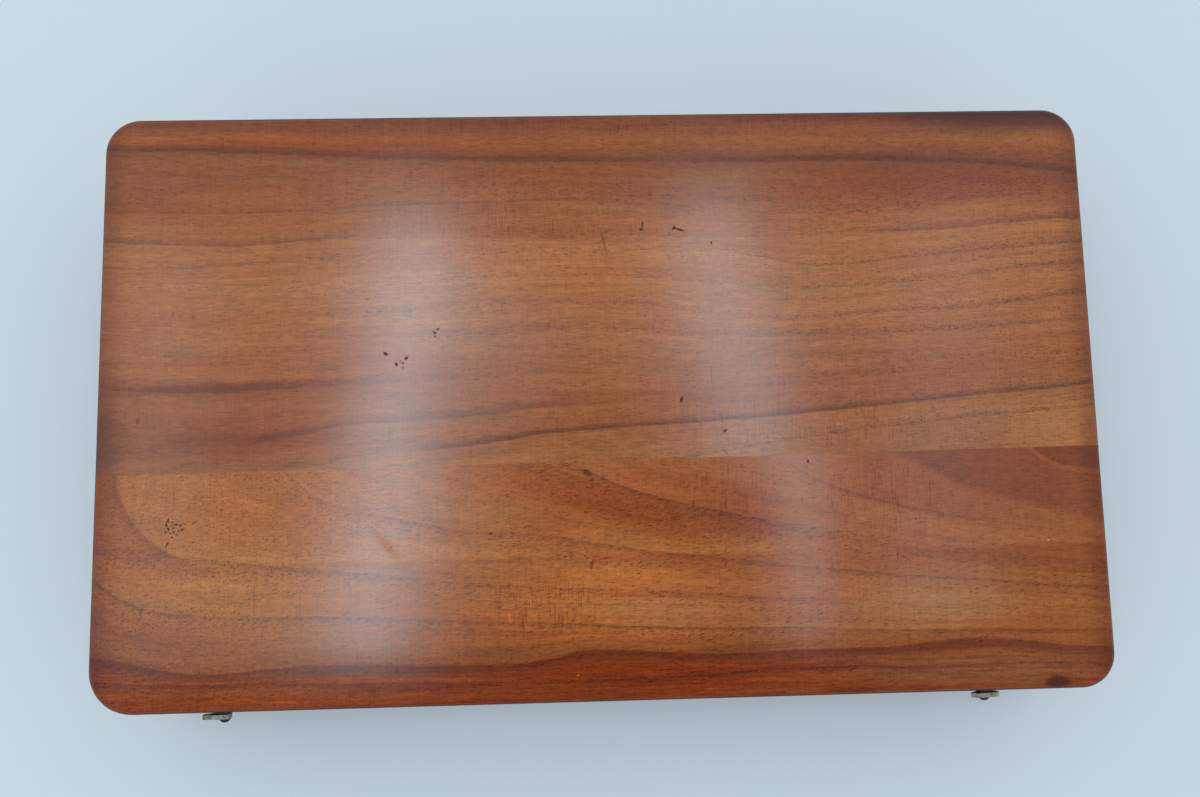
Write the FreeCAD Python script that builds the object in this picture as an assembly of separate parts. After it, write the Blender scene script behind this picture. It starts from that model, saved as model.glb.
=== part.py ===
import FreeCAD, Part
import math
import os

# A shallow hinged wooden box with two swing hooks and a flat seven-piece puzzle inside.
# Sizes are in millimetres. X runs along the length, the front faces -Y, and the base rests on Z = 0.

Vector = FreeCAD.Vector

# Case
box_length = 305.0
box_depth = 180.0
base_height = 32.0
wall = 10.0
corner_radius = 10.5
front_left_radius = 13.0  # this corner is sanded rounder than the others
edge_round = 0.8
finger_count = 5

# Lid of two boards
lid_thickness = 12.0
lid_gap = 0.4
lid_top_round = 1.2
front_board_left_width = 69.6  # the glue line runs at a slight slant
front_board_right_width = 72.6

# Bottom panel and the brads that hold it
bottom_thickness = 5.0
rabbet_width = 5.0
panel_clearance = 0.2
brad_radius = 0.6
brad_length = 14.0
brad_head_radius = 1.1
brad_head_thickness = 0.7
brad_from_end = 25.0
brads_per_long_side = 4
brads_per_end = 2

# Puzzle pieces and the rails that frame them
least_rail_width = 8.5
rail_height = 7.0
piece_thickness = 10.0
piece_gap = 0.5
piece_corner = 1.6
piece_round = 0.7

# Hinges
hinge_length = 25.0
hinge_from_end = 52.5
leaf_thickness = 1.0
leaf_setback = 2.0
mortise_clearance = 0.1
barrel_radius = 1.7
barrel_clearance = 0.2
knuckle_count = 3
knuckle_gap = 0.15
pin_radius = 0.8
pin_overhang = 0.3
hinge_screw_spacing = 15.0

# Hooks
left_hook_from_end = 38.8
right_hook_from_end = 39.5
hook_below_top = 3.5  # from the lid's top down to a hook's pivot
hook_thickness = 1.25
hook_reach = 15.0
swung_out = 28.0  # turn of a hook at rest, away from the screw that it catches
eye_radius = 1.95
arm_half_width = 1.2
tip_length = 2.8
tip_rise = 0.5
tip_radius = 0.85
left_outer_tab = 6.2
right_outer_tab = 4.5
right_inner_tab = 4.3
right_tab_tilt = 8.0
tab_radius = 1.2
washer_thickness = 0.85
washer_radius = 1.9

# Catch screws, plumb below the hooks' pivots
catch_clearance = 0.3
catch_slack = 0.25

# Screws
screw_radius = 0.95
screw_head_radius = 1.7
screw_head_height = 1.25
hinge_screw_radius = 0.8
hinge_screw_head_radius = 1.6
screw_point = 2.5
screw_cover = 3.0  # wood left past a screw's point
slot_width = 0.5
slot_depth = 0.5
hook_screw_bite = 10.0

# Fits
running_clearance = 0.05
hole_clearance = 0.03
side_play = 0.06
cut_overshoot = 1.0  # how far a cutting shape reaches past the face that it opens

# Places that follow from the sizes
half_length = box_length / 2
half_depth = box_depth / 2
inner_half_length = half_length - wall
inner_half_depth = half_depth - wall
lid_bottom = base_height + lid_gap
lid_top = lid_bottom + lid_thickness
seam_left_y = front_board_left_width - half_depth
seam_right_y = front_board_right_width - half_depth
finger_height = base_height / finger_count
hinge_axis_y = half_depth + barrel_radius + barrel_clearance
hinge_axis_z = base_height + lid_gap / 2
hinge_places = {"left": hinge_from_end - half_length, "right": half_length - hinge_from_end}
hinge_screw_y = half_depth - (wall - leaf_setback) / 2
hook_places = {"left": left_hook_from_end - half_length, "right": half_length - right_hook_from_end}
hook_tabs = {"left": [left_outer_tab], "right": [right_outer_tab, -right_inner_tab]}  # outwards is positive
tab_tilts = {"left": 0.0, "right": right_tab_tilt}  # how far the outer end hangs
hook_pivot_z = lid_top - hook_below_top
hook_standoff = washer_thickness + hook_thickness + 2 * side_play
throat_radius = screw_radius + catch_clearance
throat_bend = throat_radius + arm_half_width
catch_z = hook_pivot_z - hook_reach
catch_standoff = hook_standoff + catch_slack
catch_bite = wall - screw_cover
hinge_screw_length = lid_thickness - screw_cover
puzzle_unit = min((inner_half_length - least_rail_width) / 2, inner_half_depth - least_rail_width)
field_half_length = 2 * puzzle_unit
field_half_depth = puzzle_unit

front = Vector(0, -1, 0)
up = Vector(0, 0, 1)
down = Vector(0, 0, -1)
along = Vector(1, 0, 0)

# The puzzle's pieces in units, counted from the field's left front corner, anticlockwise
puzzle_outlines = {
    "large_triangle_front": [(0, 0), (2, 0), (0, 2)],
    "large_triangle_back": [(2, 0), (2, 2), (0, 2)],
    "medium_triangle": [(2, 0), (4, 0), (3, 1)],
    "small_triangle_right": [(4, 0), (4, 1), (3, 1)],
    "small_triangle_back": [(2, 1), (3, 2), (2, 2)],
    "square": [(3, 1), (4, 1), (4, 2), (3, 2)],
    "parallelogram": [(2, 0), (3, 1), (3, 2), (2, 1)],
}


def block(x_low, x_high, y_low, y_high, z_low, z_high):
    """Box between two corners."""
    corner = Vector(x_low, y_low, z_low)
    return Part.makeBox(x_high - x_low, y_high - y_low, z_high - z_low, corner)


def only_solid(shape):
    """The one solid of a shape, with faces in one plane merged."""
    solids = shape.Solids
    if len(solids) != 1:
        raise ValueError("expected one solid, found %d" % len(solids))
    return solids[0].removeSplitter()


def edges_at(shape, height):
    """Edges that lie level at a height."""
    return [e for e in shape.Edges if all(abs(v.Z - height) < 1e-6 for v in e.Vertexes)]


def spread(count, low, high):
    """Evenly spaced places from low to high, or the middle for one."""
    if count == 1:
        return [(low + high) / 2]
    return [low + (high - low) * i / (count - 1) for i in range(count)]


def placed(shape, position, direction, spin=0.0):
    """Copy of a shape, spun about Z, with its Z axis turned to a direction."""
    turn = FreeCAD.Rotation(up, direction).multiply(FreeCAD.Rotation(up, spin))
    copy = shape.copy()
    copy.Placement = FreeCAD.Placement(position, turn)
    return copy


def hole(position, into, radius, depth):
    """Cylinder to cut a hole from a point on a surface, started a little outside it."""
    into = Vector(into).normalize()
    start = position - into * radius
    return Part.makeCylinder(radius, depth + radius, start, into)


def case_prism(z_low, z_high):
    """Prism of the box's outline: a rectangle with rounded corners."""
    corners = [
        (-1, -1, front_left_radius),
        (1, -1, corner_radius),
        (1, 1, corner_radius),
        (-1, 1, corner_radius),
    ]
    arcs = []
    for i, (side_x, side_y, radius) in enumerate(corners):
        centre = Vector(side_x * (half_length - radius), side_y * (half_depth - radius), z_low)
        angles = [math.radians(180 + 90 * i + turn) for turn in (0, 45, 90)]
        arcs.append([centre + Vector(math.cos(a), math.sin(a), 0) * radius for a in angles])
    edges = []
    for i, arc in enumerate(arcs):
        edges.append(Part.Arc(*arc).toShape())
        edges.append(Part.makeLine(arc[2], arcs[(i + 1) % 4][0]))
    return Part.Face(Part.Wire(edges)).extrude(Vector(0, 0, z_high - z_low))


def eased(shape, z_low, z_high, low_round, high_round):
    """Prism with its bottom and top outline rounded over."""
    shape = shape.makeFillet(low_round, edges_at(shape, z_low))
    return shape.makeFillet(high_round, edges_at(shape, z_high))


def slotted(head, height):
    """Screw head with a driving slot across its top."""
    reach = 2 * screw_head_radius
    half = slot_width / 2
    return head.cut(block(-reach, reach, -half, half, height - slot_depth, height + reach))


def screw_shank(radius, length):
    """Shank from Z = 0 down, with a cone point."""
    plain = Part.makeCylinder(radius, length - screw_point, Vector(0, 0, 0), down)
    point = Part.makeCone(radius, radius / 4, screw_point, Vector(0, 0, screw_point - length), down)
    return plain.fuse(point)


def round_head_screw(length):
    """Screw with a low domed head that stands above Z = 0."""
    dome_radius = (screw_head_radius**2 + screw_head_height**2) / (2 * screw_head_height)
    ball = Part.makeSphere(dome_radius, Vector(0, 0, screw_head_height - dome_radius))
    head = ball.common(Part.makeCylinder(screw_head_radius, screw_head_height))
    return only_solid(slotted(head, screw_head_height).fuse(screw_shank(screw_radius, length)))


def flat_head_screw(length, clearance=0.0):
    """Countersunk screw whose head is flush at Z = 0, or the hole for it when given a clearance."""
    radius = hinge_screw_radius + clearance
    head_radius = hinge_screw_head_radius + clearance
    head = Part.makeCone(head_radius, radius, head_radius - radius, Vector(0, 0, 0), down)
    if clearance:
        return head.fuse(Part.makeCylinder(radius, length + clearance, Vector(0, 0, 0), down))
    return only_solid(slotted(head, 0.0).fuse(screw_shank(radius, length)))


def hinge_screw_points(z):
    """Heads of the four screws of one row of hinge leaves."""
    half = hinge_screw_spacing / 2
    return [Vector(x + dx, hinge_screw_y, z) for x in hinge_places.values() for dx in (-half, half)]


def drill_hinge_screws(shape, z, outward):
    """Shape with countersunk holes for its hinge screws."""
    cutter = flat_head_screw(hinge_screw_length, hole_clearance)
    for point in hinge_screw_points(z):
        shape = shape.cut(placed(cutter, point, outward))
    return shape


def cut_mortises(shape, z_low, z_high):
    """Shape with a shallow recess for each hinge leaf, open at the back."""
    half = hinge_length / 2 + mortise_clearance
    y_low = inner_half_depth + leaf_setback - mortise_clearance
    for x in hinge_places.values():
        shape = shape.cut(block(x - half, x + half, y_low, hinge_axis_y, z_low, z_high))
    return shape


def front_of_seam():
    """Prism over everything in front of the lid's glue line."""
    middle_y = (seam_left_y + seam_right_y) / 2
    slant = seam_right_y - seam_left_y
    corners = [
        Vector(-box_length, -box_depth, 0),
        Vector(box_length, -box_depth, 0),
        Vector(box_length, middle_y + slant, 0),
        Vector(-box_length, middle_y - slant, 0),
    ]
    return Part.Face(Part.makePolygon(corners + corners[:1])).extrude(Vector(0, 0, 2 * lid_top))


def lid_boards():
    """The lid's two boards, cut from one rounded slab along the glue line."""
    slab = eased(case_prism(lid_bottom, lid_top), lid_bottom, lid_top, edge_round, lid_top_round)
    front_part = slab.common(front_of_seam())
    back_part = slab.cut(front_of_seam())
    for x in hook_places.values():
        mouth = Vector(x, -half_depth, hook_pivot_z)
        front_part = front_part.cut(hole(mouth, -front, screw_radius + hole_clearance, hook_screw_bite))
    back_part = cut_mortises(back_part, lid_bottom - cut_overshoot, lid_bottom + leaf_thickness)
    back_part = drill_hinge_screws(back_part, lid_bottom, down)
    return {"lid_front_board": only_solid(front_part), "lid_back_board": only_solid(back_part)}


def corner_fingers(first_layer):
    """The corner blocks of every other layer, from the first one given."""
    blocks = []
    for layer in range(first_layer, finger_count, 2):
        z_low = layer * finger_height
        for x in (-half_length, inner_half_length):
            for y in (-half_depth, inner_half_depth):
                blocks.append(block(x, x + wall, y, y + wall, z_low, z_low + finger_height))
    return Part.makeCompound(blocks)


def brad_points():
    """Places of the brads, along the middle of the rabbet."""
    long_y = inner_half_depth + rabbet_width / 2
    end_x = inner_half_length + rabbet_width / 2
    last_x = half_length - brad_from_end
    last_y = half_depth - brad_from_end
    places_x = spread(brads_per_long_side, -last_x, last_x)
    places_y = spread(brads_per_end, -last_y, last_y)
    long_sides = [Vector(x, y, 0) for x in places_x for y in (-long_y, long_y)]
    ends = [Vector(x, y, 0) for y in places_y for x in (-end_x, end_x)]
    return long_sides + ends


def brad(clearance=0.0):
    """Brad driven up from Z = 0, or the hole for it when given a clearance."""
    shank = Part.makeCylinder(brad_radius + clearance, brad_length + clearance)
    return shank.fuse(Part.makeCylinder(brad_head_radius + clearance, brad_head_thickness))


def base_pieces():
    """Finger-jointed walls, the bottom panel in its rabbet, and the brads."""
    outer = eased(case_prism(0, base_height), 0, base_height, edge_round, edge_round)
    long_fingers = corner_fingers(0)
    end_fingers = corner_fingers(1)
    walls = {
        "base_front_wall": block(-half_length, half_length, -half_depth, -inner_half_depth, 0, base_height),
        "base_back_wall": block(-half_length, half_length, inner_half_depth, half_depth, 0, base_height),
        "base_left_wall": block(-half_length, -inner_half_length, -half_depth, half_depth, 0, base_height),
        "base_right_wall": block(inner_half_length, half_length, -half_depth, half_depth, 0, base_height),
    }
    rabbet_x = inner_half_length + rabbet_width
    rabbet_y = inner_half_depth + rabbet_width
    rabbet = block(-rabbet_x, rabbet_x, -rabbet_y, rabbet_y, 0, bottom_thickness)
    brad_holes = [placed(brad(hole_clearance), point, up) for point in brad_points()]
    catch_hole_radius = screw_radius + hole_clearance
    for name, shape in walls.items():
        other_fingers = end_fingers if name in ("base_front_wall", "base_back_wall") else long_fingers
        shape = shape.cut(other_fingers).common(outer).cut(rabbet).cut(brad_holes)
        if name == "base_front_wall":
            for x in hook_places.values():
                mouth = Vector(x, -half_depth, catch_z)
                shape = shape.cut(hole(mouth, -front, catch_hole_radius, catch_bite))
        if name == "base_back_wall":
            shape = cut_mortises(shape, base_height - leaf_thickness, base_height + cut_overshoot)
            shape = drill_hinge_screws(shape, base_height, up)
        walls[name] = only_solid(shape)
    panel_x = rabbet_x - panel_clearance
    panel_y = rabbet_y - panel_clearance
    panel = block(-panel_x, panel_x, -panel_y, panel_y, 0, bottom_thickness).cut(brad_holes)
    walls["bottom_panel"] = only_solid(panel)
    brads = [placed(only_solid(brad()), point, up) for point in brad_points()]
    walls["bottom_brads"] = Part.makeCompound(brads)
    return walls


def puzzle_rails():
    """Four rails on the bottom panel that leave the puzzle's field between them."""
    z_high = bottom_thickness + rail_height
    wall_x = inner_half_length
    wall_y = inner_half_depth
    field_x = field_half_length
    field_y = field_half_depth
    return {
        "puzzle_rail_front": block(-wall_x, wall_x, -wall_y, -field_y, bottom_thickness, z_high),
        "puzzle_rail_back": block(-wall_x, wall_x, field_y, wall_y, bottom_thickness, z_high),
        "puzzle_rail_left": block(-wall_x, -field_x, -field_y, field_y, bottom_thickness, z_high),
        "puzzle_rail_right": block(field_x, wall_x, -field_y, field_y, bottom_thickness, z_high),
    }


def inset(points, distance):
    """Anticlockwise outline with every side moved inwards."""
    count = len(points)
    sides = [(points[(i + 1) % count] - points[i]).normalize() for i in range(count)]
    moved = []
    for i in range(count):
        before, after = sides[i - 1], sides[i]
        inward = Vector(-after.y, after.x, 0) * distance
        half_turn = before.getAngle(after) / 2
        moved.append(points[i] + inward + after * distance * math.tan(half_turn))
    return moved


def puzzle_piece(outline):
    """Flat piece with eased corners and edges, with half a gap all round."""
    origin = Vector(-field_half_length, -field_half_depth, bottom_thickness)
    points = inset([origin + Vector(x, y, 0) * puzzle_unit for x, y in outline], piece_gap / 2)
    shape = Part.Face(Part.makePolygon(points + points[:1])).extrude(Vector(0, 0, piece_thickness))
    uprights = [e for e in shape.Edges if abs(e.Vertexes[0].Z - e.Vertexes[-1].Z) > piece_thickness / 2]
    shape = shape.makeFillet(piece_corner, uprights)
    return eased(shape, bottom_thickness, bottom_thickness + piece_thickness, piece_round, piece_round)


def knuckle_span(x, index):
    """Start and end along X of one knuckle of a hinge."""
    length = hinge_length / knuckle_count
    start = x - hinge_length / 2 + index * length
    return start, start + length


def barrel(x_low, x_high, radius):
    """Cylinder on the hinge axis."""
    return Part.makeCylinder(radius, x_high - x_low, Vector(x_low, hinge_axis_y, hinge_axis_z), along)


def hinge_leaf(x, z_low, screw_z, outward, own):
    """Leaf with its own knuckles: every other one, from the first or the second."""
    half = hinge_length / 2
    y_low = inner_half_depth + leaf_setback
    leaf = block(x - half, x + half, y_low, hinge_axis_y, z_low, z_low + leaf_thickness)
    for index in range(knuckle_count):
        x_low, x_high = knuckle_span(x, index)
        if index % 2 != own:
            gap = knuckle_gap / 2
            leaf = leaf.cut(barrel(x_low - gap, x_high + gap, barrel_radius + barrel_clearance))
    for index in range(own, knuckle_count, 2):
        x_low, x_high = knuckle_span(x, index)
        trim_low = knuckle_gap / 2 if index > 0 else 0.0
        trim_high = knuckle_gap / 2 if index < knuckle_count - 1 else 0.0
        leaf = leaf.fuse(barrel(x_low + trim_low, x_high - trim_high, barrel_radius))
    reach = half + cut_overshoot
    leaf = leaf.cut(barrel(x - reach, x + reach, pin_radius + running_clearance))
    return only_solid(drill_hinge_screws(leaf, screw_z, outward))


def hinge_pieces():
    """Two butt hinges with their pins and screws."""
    pieces = {}
    for side, x in hinge_places.items():
        base_z = base_height - leaf_thickness
        pieces[side + "_hinge_base_leaf"] = hinge_leaf(x, base_z, base_height, up, 0)
        pieces[side + "_hinge_lid_leaf"] = hinge_leaf(x, lid_bottom, lid_bottom, down, 1)
        reach = hinge_length / 2 + pin_overhang
        pieces[side + "_hinge_pin"] = barrel(x - reach, x + reach, pin_radius)
    screw = flat_head_screw(hinge_screw_length)
    for name, z, outward in (("hinge_base_screws", base_height, up), ("hinge_lid_screws", lid_bottom, down)):
        pieces[name] = Part.makeCompound([placed(screw, point, outward) for point in hinge_screw_points(z)])
    return pieces


def disc(x, z, radius):
    """Round plate of the hook's thickness, at a place in the hook's own plane."""
    return Part.makeCylinder(radius, hook_thickness, Vector(x, 0, z), Vector(0, 1, 0))


def tapered_link(x1, z1, r1, x2, z2, r2):
    """Plate with two round ends joined by straight tangents."""
    heading = math.atan2(z2 - z1, x2 - x1)
    lean = math.acos((r1 - r2) / math.hypot(x2 - x1, z2 - z1))
    corners = []
    for x, z, r, side in ((x1, z1, r1, 1), (x2, z2, r2, 1), (x2, z2, r2, -1), (x1, z1, r1, -1)):
        angle = heading + side * lean
        corners.append(Vector(x + r * math.cos(angle), 0, z + r * math.sin(angle)))
    web = Part.Face(Part.makePolygon(corners + corners[:1])).extrude(Vector(0, hook_thickness, 0))
    return web.fuse([disc(x1, z1, r1), disc(x2, z2, r2)])


def hook_plate(tabs, tilt):
    """Right-hand hook, swung out about its pivot at the origin, with thumb tabs level with its eye's top."""
    sole_z = -hook_reach - throat_bend
    shank = tapered_link(0, 0, eye_radius, throat_bend, -hook_reach, arm_half_width)
    tip = tapered_link(0, sole_z, arm_half_width, -tip_length, sole_z + tip_rise, tip_radius)
    outer_radius = throat_bend + arm_half_width
    ring = disc(0, -hook_reach, outer_radius).cut(disc(0, -hook_reach, throat_radius))
    quarter = block(0, outer_radius, 0, hook_thickness, -hook_reach - outer_radius, -hook_reach)
    plate = shank.fuse([tip, ring.common(quarter)])
    plate.rotate(Vector(0, 0, 0), front, swung_out)
    for reach in tabs:
        end_x = reach - math.copysign(tab_radius, reach)
        tab = tapered_link(0, 0, eye_radius, end_x, eye_radius - tab_radius, tab_radius)
        tab.rotate(Vector(0, 0, 0), front, -tilt)
        plate = plate.fuse(tab)
    return only_solid(plate.cut(disc(0, 0, screw_radius + running_clearance)))


def latch_pieces():
    """Hooks with their washers and pivot screws, and the screws that they catch."""
    pieces = {}
    hook_back_y = -half_depth - washer_thickness - side_play
    for side, x in hook_places.items():
        pivot = Vector(x, -half_depth, hook_pivot_z)
        hook = hook_plate(hook_tabs[side], tab_tilts[side])
        if side == "left":
            hook = hook.mirror(Vector(0, 0, 0), Vector(1, 0, 0))
        hook.translate(Vector(x, hook_back_y - hook_thickness, hook_pivot_z))
        pieces[side + "_hook"] = hook
        washer = Part.makeCylinder(washer_radius, washer_thickness, pivot, front)
        bore = Part.makeCylinder(screw_radius + running_clearance, washer_thickness, pivot, front)
        pieces[side + "_hook_washer"] = washer.cut(bore)
        screw = round_head_screw(hook_standoff + hook_screw_bite)
        pieces[side + "_hook_screw"] = placed(screw, pivot + front * hook_standoff, front, swung_out)
        catch = Vector(x, -half_depth, catch_z)
        screw = round_head_screw(catch_standoff + catch_bite)
        pieces[side + "_catch_screw"] = placed(screw, catch + front * catch_standoff, front)
    return pieces


def all_pieces():
    """Every node's name and shape."""
    pieces = {}
    for group in (lid_boards(), base_pieces(), puzzle_rails(), hinge_pieces(), latch_pieces()):
        pieces.update(group)
    for name, outline in puzzle_outlines.items():
        pieces["puzzle_" + name] = puzzle_piece(outline)
    return pieces


os.makedirs("parts", exist_ok=True)
for node, node_shape in all_pieces().items():
    if not node_shape.isValid():
        raise ValueError(node + " is not a valid shape")
    node_shape.exportStep("parts/" + node + ".step")
    print(node, len(node_shape.Solids), round(node_shape.Volume, 1))
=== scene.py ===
import math
from collections import namedtuple

import bpy
from mathutils import Matrix, Vector


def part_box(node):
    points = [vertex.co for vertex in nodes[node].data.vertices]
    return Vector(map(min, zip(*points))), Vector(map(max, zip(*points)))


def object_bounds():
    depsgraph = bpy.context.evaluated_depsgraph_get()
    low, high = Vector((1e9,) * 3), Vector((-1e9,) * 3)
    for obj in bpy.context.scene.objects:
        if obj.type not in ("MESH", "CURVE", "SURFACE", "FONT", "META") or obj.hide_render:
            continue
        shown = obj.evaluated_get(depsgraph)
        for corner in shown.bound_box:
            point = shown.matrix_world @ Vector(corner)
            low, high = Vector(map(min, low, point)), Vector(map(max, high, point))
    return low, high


# A hinged wooden box, seen from above, with brass hooks and a flat puzzle inside.
# The frame is in metres. Wood is worked out in millimetres from each piece's own coordinates.

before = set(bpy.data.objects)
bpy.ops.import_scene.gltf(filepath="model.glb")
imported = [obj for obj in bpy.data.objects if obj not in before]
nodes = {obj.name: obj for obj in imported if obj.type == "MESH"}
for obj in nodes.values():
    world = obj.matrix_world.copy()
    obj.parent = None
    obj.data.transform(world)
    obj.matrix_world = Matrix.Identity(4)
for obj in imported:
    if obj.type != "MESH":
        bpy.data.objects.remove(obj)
cad_low, cad_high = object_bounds()

MM = 0.001
lid_back_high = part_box("lid_back_board")[1] / MM
lid_front_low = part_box("lid_front_board")[0] / MM
lid_top = lid_back_high.z
half_length = lid_back_high.x
half_depth = -lid_front_low.y


def tone(red, green, blue):
    """A colour written as 0 to 255 display values, as the shader's linear RGBA."""
    linear = []
    for level in (red, green, blue):
        share = level / 255
        linear.append(share / 12.92 if share <= 0.04045 else ((share + 0.055) / 1.055) ** 2.4)
    return (*linear, 1.0)


# Node helpers

SEED_STEP = (7.3, 3.1, 5.7)  # how far a seed of 1 moves a texture

# Places of the Mix node's colours among its sockets
MIX_FIRST = 6
MIX_SECOND = 7
MIX_RESULT = 2


class Field:
    """A number at each point of a surface. Arithmetic on it adds Math nodes."""

    def __init__(self, graph, socket):
        self.graph = graph
        self.socket = socket

    def __add__(self, other):
        return self.graph.math("ADD", self, other)

    __radd__ = __add__

    def __sub__(self, other):
        return self.graph.math("SUBTRACT", self, other)

    def __rsub__(self, other):
        return self.graph.math("SUBTRACT", other, self)

    def __mul__(self, other):
        return self.graph.math("MULTIPLY", self, other)

    __rmul__ = __mul__

    def __truediv__(self, other):
        return self.graph.math("DIVIDE", self, other)

    def __abs__(self):
        return self.graph.math("ABSOLUTE", self)


class Graph:
    """One material's node tree around a Principled shader."""

    def __init__(self, name):
        self.material = bpy.data.materials.new(name)
        self.material.use_nodes = True
        self.tree = self.material.node_tree
        self.tree.nodes.clear()
        self.shader = self.node("ShaderNodeBsdfPrincipled")
        output = self.node("ShaderNodeOutputMaterial")
        self.put(output.inputs["Surface"], self.shader.outputs[0])

    def node(self, kind, inputs=None, **settings):
        made = self.tree.nodes.new(kind)
        for key, value in settings.items():
            setattr(made, key, value)
        for key, value in (inputs or {}).items():
            self.put(made.inputs[key], value)
        return made

    def put(self, socket, value):
        if isinstance(value, Field):
            value = value.socket
        if isinstance(value, bpy.types.NodeSocket):
            self.tree.links.new(value, socket)
        else:
            socket.default_value = value

    def field(self, socket):
        return Field(self, socket)

    def math(self, operation, *values):
        made = self.node("ShaderNodeMath", operation=operation)
        for socket, value in zip(made.inputs, values):
            self.put(socket, value)
        return self.field(made.outputs[0])

    def vector(self, x, y, z):
        return self.node("ShaderNodeCombineXYZ", {"X": x, "Y": y, "Z": z}).outputs[0]

    def split(self, vector):
        parts = self.node("ShaderNodeSeparateXYZ", {"Vector": vector}).outputs
        return [self.field(part) for part in parts]

    def millimetres(self):
        """The piece's own coordinates in millimetres, which are the frame's at rest."""
        place = self.node("ShaderNodeTexCoord").outputs["Object"]
        scaled = self.node("ShaderNodeVectorMath", {0: place, "Scale": 1 / MM}, operation="SCALE")
        return scaled.outputs[0]

    def turn(self, vector, degrees):
        """The vector turned about Z."""
        made = self.node("ShaderNodeVectorRotate", {"Vector": vector}, rotation_type="Z_AXIS")
        made.inputs["Angle"].default_value = math.radians(degrees)
        return made.outputs[0]

    def shifted(self, x, y, z, seed):
        """A place in a texture, moved by the seed so that no two textures line up."""
        step_x, step_y, step_z = SEED_STEP
        return self.vector(x + seed * step_x, y + seed * step_y, z + seed * step_z)

    def noise(self, x, y, z, detail, roughness, seed):
        made = self.node("ShaderNodeTexNoise", {"Scale": 1.0, "Detail": detail, "Roughness": roughness})
        self.put(made.inputs["Vector"], self.shifted(x, y, z, seed))
        return self.field(made.outputs[0])

    def cells(self, x, y, z, seed):
        """Distance to the nearest point of a scattered grid, and that point's own random number."""
        made = self.node("ShaderNodeTexVoronoi", {"Scale": 1.0, "Vector": self.shifted(x, y, z, seed)})
        chance = self.node("ShaderNodeSeparateColor", {"Color": made.outputs["Color"]}).outputs[0]
        return self.field(made.outputs["Distance"]), self.field(chance)

    def remap(self, value, low, high, to_low=0.0, to_high=1.0, smooth=True):
        """The value carried from low and high to to_low and to_high, and held at these beyond them."""
        made = self.node("ShaderNodeMapRange", {"Value": value}, clamp=True)
        made.interpolation_type = "SMOOTHSTEP" if smooth else "LINEAR"
        ends = {"From Min": low, "From Max": high, "To Min": to_low, "To Max": to_high}
        for name, number in ends.items():
            self.put(made.inputs[name], number)
        return self.field(made.outputs[0])

    def ramp(self, value, stops, low=0.0, high=1.0):
        """A colour from value, by (value, colour) stops between low and high."""
        made = self.node("ShaderNodeValToRGB", {"Fac": self.remap(value, low, high, smooth=False)})
        elements = made.color_ramp.elements
        while len(elements) < len(stops):
            elements.new(0.5)
        for element, (place, colour) in zip(elements, sorted(stops)):
            element.position = (place - low) / (high - low)
            element.color = colour
        return made.outputs[0]

    def curve(self, value, points, low, high, to_low, to_high):
        """A smooth curve through (value, result) points."""
        made = self.node("ShaderNodeFloatCurve", {"Value": self.remap(value, low, high, smooth=False)})
        shape = made.mapping.curves[0]
        while len(shape.points) < len(points):
            shape.points.new(0.5, 0.5)
        for point, (place, result) in zip(shape.points, points):
            point.location = ((place - low) / (high - low), (result - to_low) / (to_high - to_low))
        made.mapping.update()
        return self.field(made.outputs[0]) * (to_high - to_low) + to_low

    def mix(self, share, first, second, blend="MIX"):
        made = self.node("ShaderNodeMix", data_type="RGBA", blend_type=blend)
        self.put(made.inputs["Factor"], share)
        self.put(made.inputs[MIX_FIRST], first)
        self.put(made.inputs[MIX_SECOND], second)
        return made.outputs[MIX_RESULT]

    def scale(self, colour, by):
        """The colour made lighter or darker by a factor."""
        made = self.node("ShaderNodeVectorMath", {0: colour, "Scale": by}, operation="SCALE")
        return made.outputs[0]

    def tint(self, colour, share, by):
        """The colour multiplied by another where share is 1, and left alone where it is 0."""
        return self.mix(share, colour, (*by, 1.0), "MULTIPLY")

    def finish(self, colour, roughness, height, specular=0.5, metallic=0.0):
        """Joins colour, roughness and a relief in millimetres to the shader."""
        bump = self.node("ShaderNodeBump", {"Height": height, "Strength": 1.0, "Distance": MM})
        self.put(self.shader.inputs["Base Color"], colour)
        self.put(self.shader.inputs["Roughness"], roughness)
        self.put(self.shader.inputs["Normal"], bump.outputs[0])
        self.put(self.shader.inputs["Specular IOR Level"], specular)
        self.put(self.shader.inputs["Metallic"], metallic)
        return self.material


# Wood

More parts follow.
